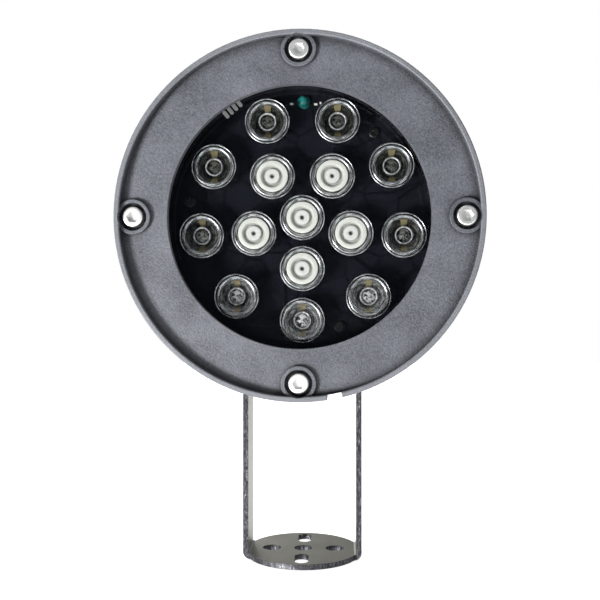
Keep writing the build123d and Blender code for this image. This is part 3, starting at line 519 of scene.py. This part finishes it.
COAT = powder_coat("grey_powder_coat", (0.030, 0.032, 0.040), (0.125, 0.130, 0.150))
PACKAGE = led_package("led_package")
DOME = clear_silicone("clear_silicone")
STEEL = steel_plate("stainless_plate")
SCREW = bright_metal("white_zinc", (0.80, 0.80, 0.79), (0.92, 0.92, 0.91), 0.34)
FASTENER = bright_metal("stainless_fastener", (0.62, 0.62, 0.61), (0.8, 0.8, 0.79), 0.14)
BLACK_SCREW = bright_metal("black_oxide", (0.03, 0.03, 0.03), (0.06, 0.06, 0.06), 0.3)
GOLD = bright_metal("gold_plate", (0.6, 0.46, 0.2), (0.8, 0.66, 0.36), 0.2)
SOLDER = moulded("bright_solder", (0.74, 0.74, 0.74), (0.88, 0.88, 0.88), 0.18, 900)
GLASS = window_glass("window_glass")
LENS_FACE = window_glass("polished_lens_face")
RIM = mirrored_rim("mirrored_rim")
FUNNEL = lens_funnel("lens_funnel")
HEART = lens_heart("lens_heart")
WELL = well_reflection("well_reflection")
CREAM = cream_diffuser("cream_diffuser")
ACRYLIC = lens_acrylic("clear_acrylic")
BOARD = black_board("black_solder_mask")
RUBBER = moulded("black_rubber", (0.012, 0.012, 0.012), (0.022, 0.022, 0.022), 0.6)
PAD = moulded("grey_thermal_pad", (0.30, 0.32, 0.35), (0.38, 0.40, 0.43), 0.65)
WHITE = moulded("white_plastic", (0.80, 0.80, 0.76), (0.88, 0.88, 0.84), 0.4)
NYLON = moulded("natural_nylon", (0.68, 0.67, 0.62), (0.76, 0.75, 0.70), 0.42)
BLACK_NYLON = moulded("black_nylon", (0.018, 0.018, 0.019), (0.03, 0.03, 0.032), 0.42, 1100, 0.05)
TEAL = moulded("teal_resin", (0.004, 0.035, 0.034), (0.02, 0.26, 0.24), 0.08, 6000)
CHIP = moulded("pale_ceramic", (0.72, 0.70, 0.66), (0.84, 0.82, 0.78), 0.4)
LEAD = moulded("white_lead", (0.78, 0.78, 0.75), (0.87, 0.87, 0.85), 0.35)
GREEN_BOARD = moulded("green_solder_mask", (0.02, 0.17, 0.07), (0.04, 0.26, 0.12), 0.3)
SLEEVE = moulded("capacitor_sleeve", (0.03, 0.04, 0.09), (0.06, 0.07, 0.14), 0.25)
FERRITE = moulded("ferrite", (0.05, 0.05, 0.055), (0.09, 0.09, 0.095), 0.6)
TERMINAL = moulded("terminal_green", (0.04, 0.30, 0.10), (0.06, 0.40, 0.15), 0.4)

FINISH = {
    "bracket": STEEL,
    "housing": COAT,
    "bezel_ring": COAT,
    "rear_cover": COAT,
    "bezel_screws": SCREW,
    # The washers in the bezel's counterbores are black so that the pockets look dark: painted shade.
    "bezel_washers": BLACK_SCREW,
    "rear_cover_screws": FASTENER,
    "pivot_bolts": FASTENER,
    "pivot_flat_washers": FASTENER,
    "pivot_lock_washers": FASTENER,
    "driver_screws": FASTENER,
    "front_glass": GLASS,
    "front_gasket": RUBBER,
    "rear_gasket": RUBBER,
    "rear_cover_gasket": RUBBER,
    "gland_washer": RUBBER,
    "gland_seal": RUBBER,
    "led_board": BOARD,
    "thermal_pad": PAD,
    "board_screws": BLACK_SCREW,
    "outer_lenses": ACRYLIC,
    "inner_lenses": ACRYLIC,
    "inner_lens_holders": WHITE,
    "led_bodies": PACKAGE,
    "led_domes": DOME,
    "led_leads": GOLD,
    "light_sensor": TEAL,
    "sensor_chips": CHIP,
    "solder_pads": SOLDER,
    "driver_leads": LEAD,
    "driver_board": GREEN_BOARD,
    "driver_capacitors": SLEEVE,
    "driver_inductor": FERRITE,
    "driver_chips": FERRITE,
    "gland_body": BLACK_NYLON,
    "gland_lock_nut": BLACK_NYLON,
    "gland_cap": BLACK_NYLON,
    "input_terminal": TERMINAL,
    "pivot_friction_washers": NYLON,
}

for name, node in nodes.items():
    node.data.materials.clear()
    node.data.materials.append(FINISH[name])

# ---------------------------------------------------------------- turned lens pieces

SEGMENTS = 72
CREASE = 32
WELD = 1e-7


def ring_places(*rings):
    """Centres of the lenses on these rings, as (x, z); the first of each ring is the lowest."""
    places = []
    for radius, count in rings:
        for index in range(count):
            angle = radians(-90 + 360 * index / count)
            places.append((ARRAY_X + radius * cos(angle), ARRAY_Z + radius * sin(angle)))
    return places


def turned(name, profile, places, material):
    """A closed half-section turned about each place's own axis, all in one mesh.

    The section is a loop of (radius, height above the board) in millimetres. The attribute "turn"
    keeps each point's direction round that axis and its radius, for the materials.
    """
    vertices, faces, turn = [], [], []
    for x, z in places:
        base = len(vertices)
        for step in range(SEGMENTS):
            angle = 2 * pi * step / SEGMENTS
            for radius, height in profile:
                vertices.append(
                    (x + radius * MM * cos(angle), BOARD_FACE - height * MM, z + radius * MM * sin(angle))
                )
                turn.append((cos(angle), sin(angle), radius))
        size = len(profile)
        for step in range(SEGMENTS):
            here = base + step * size
            there = base + (step + 1) % SEGMENTS * size
            for i in range(size):
                j = (i + 1) % size
                faces.append((here + i, here + j, there + j, there + i))
    mesh = bpy.data.meshes.new(name)
    mesh.from_pydata(vertices, [], faces)
    kept = mesh.attributes.new("turn", "FLOAT_VECTOR", "POINT")
    kept.data.foreach_set("vector", [value for item in turn for value in item])
    work = bmesh.new()
    work.from_mesh(mesh)
    bmesh.ops.remove_doubles(work, verts=work.verts, dist=WELD)
    bmesh.ops.recalc_face_normals(work, faces=work.faces)
    work.to_mesh(mesh)
    work.free()
    mesh.polygons.foreach_set("use_smooth", [True] * len(mesh.polygons))
    mesh.set_sharp_from_angle(angle=radians(CREASE))
    mesh.materials.append(material)
    piece = bpy.data.objects.new(name, mesh)
    bpy.context.scene.collection.objects.link(piece)
    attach(piece, "lamp_head")
    return piece


INNER = ring_places(*LED_RINGS[:2])
OUTER = ring_places(LED_RINGS[2])
TOP = (BOARD_FACE - LENS_FRONT) / MM

clear_section = [
    (10.4, TOP - 1.6), (11.3, TOP - 1.6), (11.3, TOP - 0.4), (11.2, TOP - 0.1), (10.9, TOP),
    (8.4, TOP), (8.1, TOP - 0.25), (8.1, TOP - 0.8), (10.2, TOP - 0.8),
]
inner_clear = turned("inner_lens_rims", clear_section, INNER, LENS_FACE)
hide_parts("inner_lenses")

rim_section = [
    (8.1, TOP - 2.4), (8.1, TOP - 2.0), (8.5, TOP - 1.4), (9.0, TOP - 1.05), (9.5, TOP - 1.0),
    (9.9, TOP - 1.2), (10.0, TOP - 2.4), (9.6, TOP - 3.0), (8.5, TOP - 3.2),
]
inner_edge = turned("inner_lens_edges", rim_section, INNER, RIM)

bead_section = [
    (10.5, TOP - 1.5), (10.55, TOP - 1.2), (10.8, TOP - 1.05), (11.05, TOP - 1.2), (11.1, TOP - 1.5),
]
bead = turned("lens_flange_edges", bead_section, INNER + OUTER, RIM)

white_section = [
    (0.5, 3.1), (4.2, 3.1), (6.4, 5.4), (7.7, TOP - 2.0), (7.8, TOP - 0.8),
    (7.6, TOP - 0.45), (7.2, TOP - 0.3),
    (5.8, TOP - 0.35), (5.2, TOP - 0.9), (4.8, TOP - 1.8), (4.4, TOP - 2.2), (4.0, TOP - 2.0),
    (3.8, TOP - 1.0), (3.5, TOP - 0.65), (2.4, TOP - 0.45), (1.3, TOP - 0.6),
    (0.9, TOP - 1.0), (0.5, TOP - 2.0),
]
inner_white = turned("inner_lens_diffusers", white_section, INNER, CREAM)
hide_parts("inner_lens_holders")

front_section = [
    (4.3, TOP), (10.9, TOP), (11.2, TOP - 0.1), (11.3, TOP - 0.4), (11.3, TOP - 1.6), (10.4, TOP - 1.6),
    (10.2, TOP - 0.7), (4.5, TOP - 0.7), (4.2, TOP - 2.4), (4.1, TOP - 2.4),
]
outer_front = turned("outer_lens_faces", front_section, OUTER, LENS_FACE)
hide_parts("outer_lenses")

outer_edge = turned("outer_lens_edges", rim_section, OUTER, RIM)

well_section = [(3.7, 6.6), (3.7, TOP - 2.9), (4.0, TOP - 2.5), (4.4, TOP - 2.9), (4.4, 6.6)]
outer_well = turned("outer_lens_wells", well_section, OUTER, WELL)

funnel_section = [
    (4.5, 3.1), (4.8, 4.4), (5.9, 6.0), (7.0, 7.0), (7.95, TOP - 2.5), (8.4, TOP - 3.4), (8.2, 6.4),
    (7.4, 5.6), (6.2, 4.2), (5.2, 3.1),
]
outer_funnel = turned("outer_lens_funnels", funnel_section, OUTER, FUNNEL)

heart_section = [(0.0, 5.6), (0.0, 7.6), (1.2, 7.45), (2.3, 7.0), (3.2, 6.3), (3.6, 5.6)]
outer_heart = turned("outer_lens_domes", heart_section, OUTER, HEART)

# ---------------------------------------------------------------- floor, light and camera


def area_light(name, place, aim, width, height, watts):
    data = bpy.data.lights.new(name, "AREA")
    data.shape = "RECTANGLE"
    data.size = width
    data.size_y = height
    data.energy = watts
    lamp = bpy.data.objects.new(name, data)
    bpy.context.scene.collection.objects.link(lamp)
    lamp.location = place
    lamp.rotation_euler = (Vector(aim) - Vector(place)).to_track_quat("-Z", "Y").to_euler()


centre = Vector((LAMP_X, LIP_FRONT, LAMP_Z))
area_light("key_light", (-0.78, -0.88, -0.30), centre, 0.30, 0.30, 28)
area_light("upper_fill", (-0.30, -1.00, 1.15), centre, 1.0, 0.6, 3)
area_light("right_fill", (0.95, -0.75, 0.55), centre, 0.5, 0.9, 2)
area_light("top_light", (0.0, 0.35, 1.6), (0, 0, 0), 1.4, 1.4, 14)
area_light("back_light", (-0.8, 1.3, 0.9), centre, 1.2, 1.2, 12)

# The sky lights the sides and back softly and is dark in front, where the glass would mirror it.
world = bpy.data.worlds.new("studio")
bpy.context.scene.world = world
world.use_nodes = True
sky = world.node_tree
background = sky.nodes["Background"]
direction = sky.nodes.new("ShaderNodeTexCoord")
parts = sky.nodes.new("ShaderNodeSeparateXYZ")
sky.links.new(direction.outputs["Generated"], parts.inputs[0])
forward = sky.nodes.new("ShaderNodeMapRange")
sky.links.new(parts.outputs["Y"], forward.inputs["Value"])
forward.inputs["From Min"].default_value = -0.95
forward.inputs["From Max"].default_value = -0.35
shade = sky.nodes.new("ShaderNodeValToRGB")
sky.links.new(forward.outputs[0], shade.inputs["Fac"])
shade.color_ramp.elements[0].color = (0.020, 0.024, 0.034, 1.0)
shade.color_ramp.elements[1].color = (0.30, 0.30, 0.31, 1.0)
sky.links.new(shade.outputs["Color"], background.inputs["Color"])
background.inputs["Strength"].default_value = 1.0
white = sky.nodes.new("ShaderNodeBackground")
white.inputs["Color"].default_value = (1.0, 1.0, 1.0, 1.0)
white.inputs["Strength"].default_value = 1.0
ray = sky.nodes.new("ShaderNodeLightPath")
pick = sky.nodes.new("ShaderNodeMixShader")
sky.links.new(ray.outputs["Is Camera Ray"], pick.inputs[0])
sky.links.new(background.outputs[0], pick.inputs[1])
sky.links.new(white.outputs[0], pick.inputs[2])
sky.links.new(pick.outputs[0], sky.nodes["World Output"].inputs["Surface"])

FLOOR = 1.4
FLOOR_GAP = 0.0002
floor_mesh = bpy.data.meshes.new("floor")
floor_mesh.from_pydata(
    [(-FLOOR, -FLOOR, 0), (FLOOR, -FLOOR, 0), (FLOOR, FLOOR, 0), (-FLOOR, FLOOR, 0)], [], [(0, 1, 2, 3)]
)
floor = bpy.data.objects.new("floor", floor_mesh)
bpy.context.scene.collection.objects.link(floor)
floor.location.z = cad_low[2] - FLOOR_GAP
paper = Nodes("white_paper")
fibre = paper.noise(40, detail=3.0)
floor_mesh.materials.append(
    paper.surface(
        Base_Color=paper.ramp(fibre, (0.3, (0.86, 0.86, 0.86)), (0.7, (0.9, 0.9, 0.9))),
        Roughness=0.9,
        Emission_Color=(1.0, 1.0, 1.0),
        Emission_Strength=0.75,
    )
)
floor.visible_shadow = False

camera_data = bpy.data.cameras.new("camera")
camera = bpy.data.objects.new("camera", camera_data)
bpy.context.scene.collection.objects.link(camera)
bpy.context.scene.camera = camera
camera_data.lens = 51.9
camera_data.sensor_width = 36.0
camera_data.clip_start = 0.01
camera.location = (0.0212, LIP_FRONT - 0.4075, LAMP_Z - 0.0399)
camera.rotation_euler = Euler((radians(90.0), radians(0.0), radians(2.85)), "XYZ")

bpy.context.scene.view_settings.view_transform = "Standard"
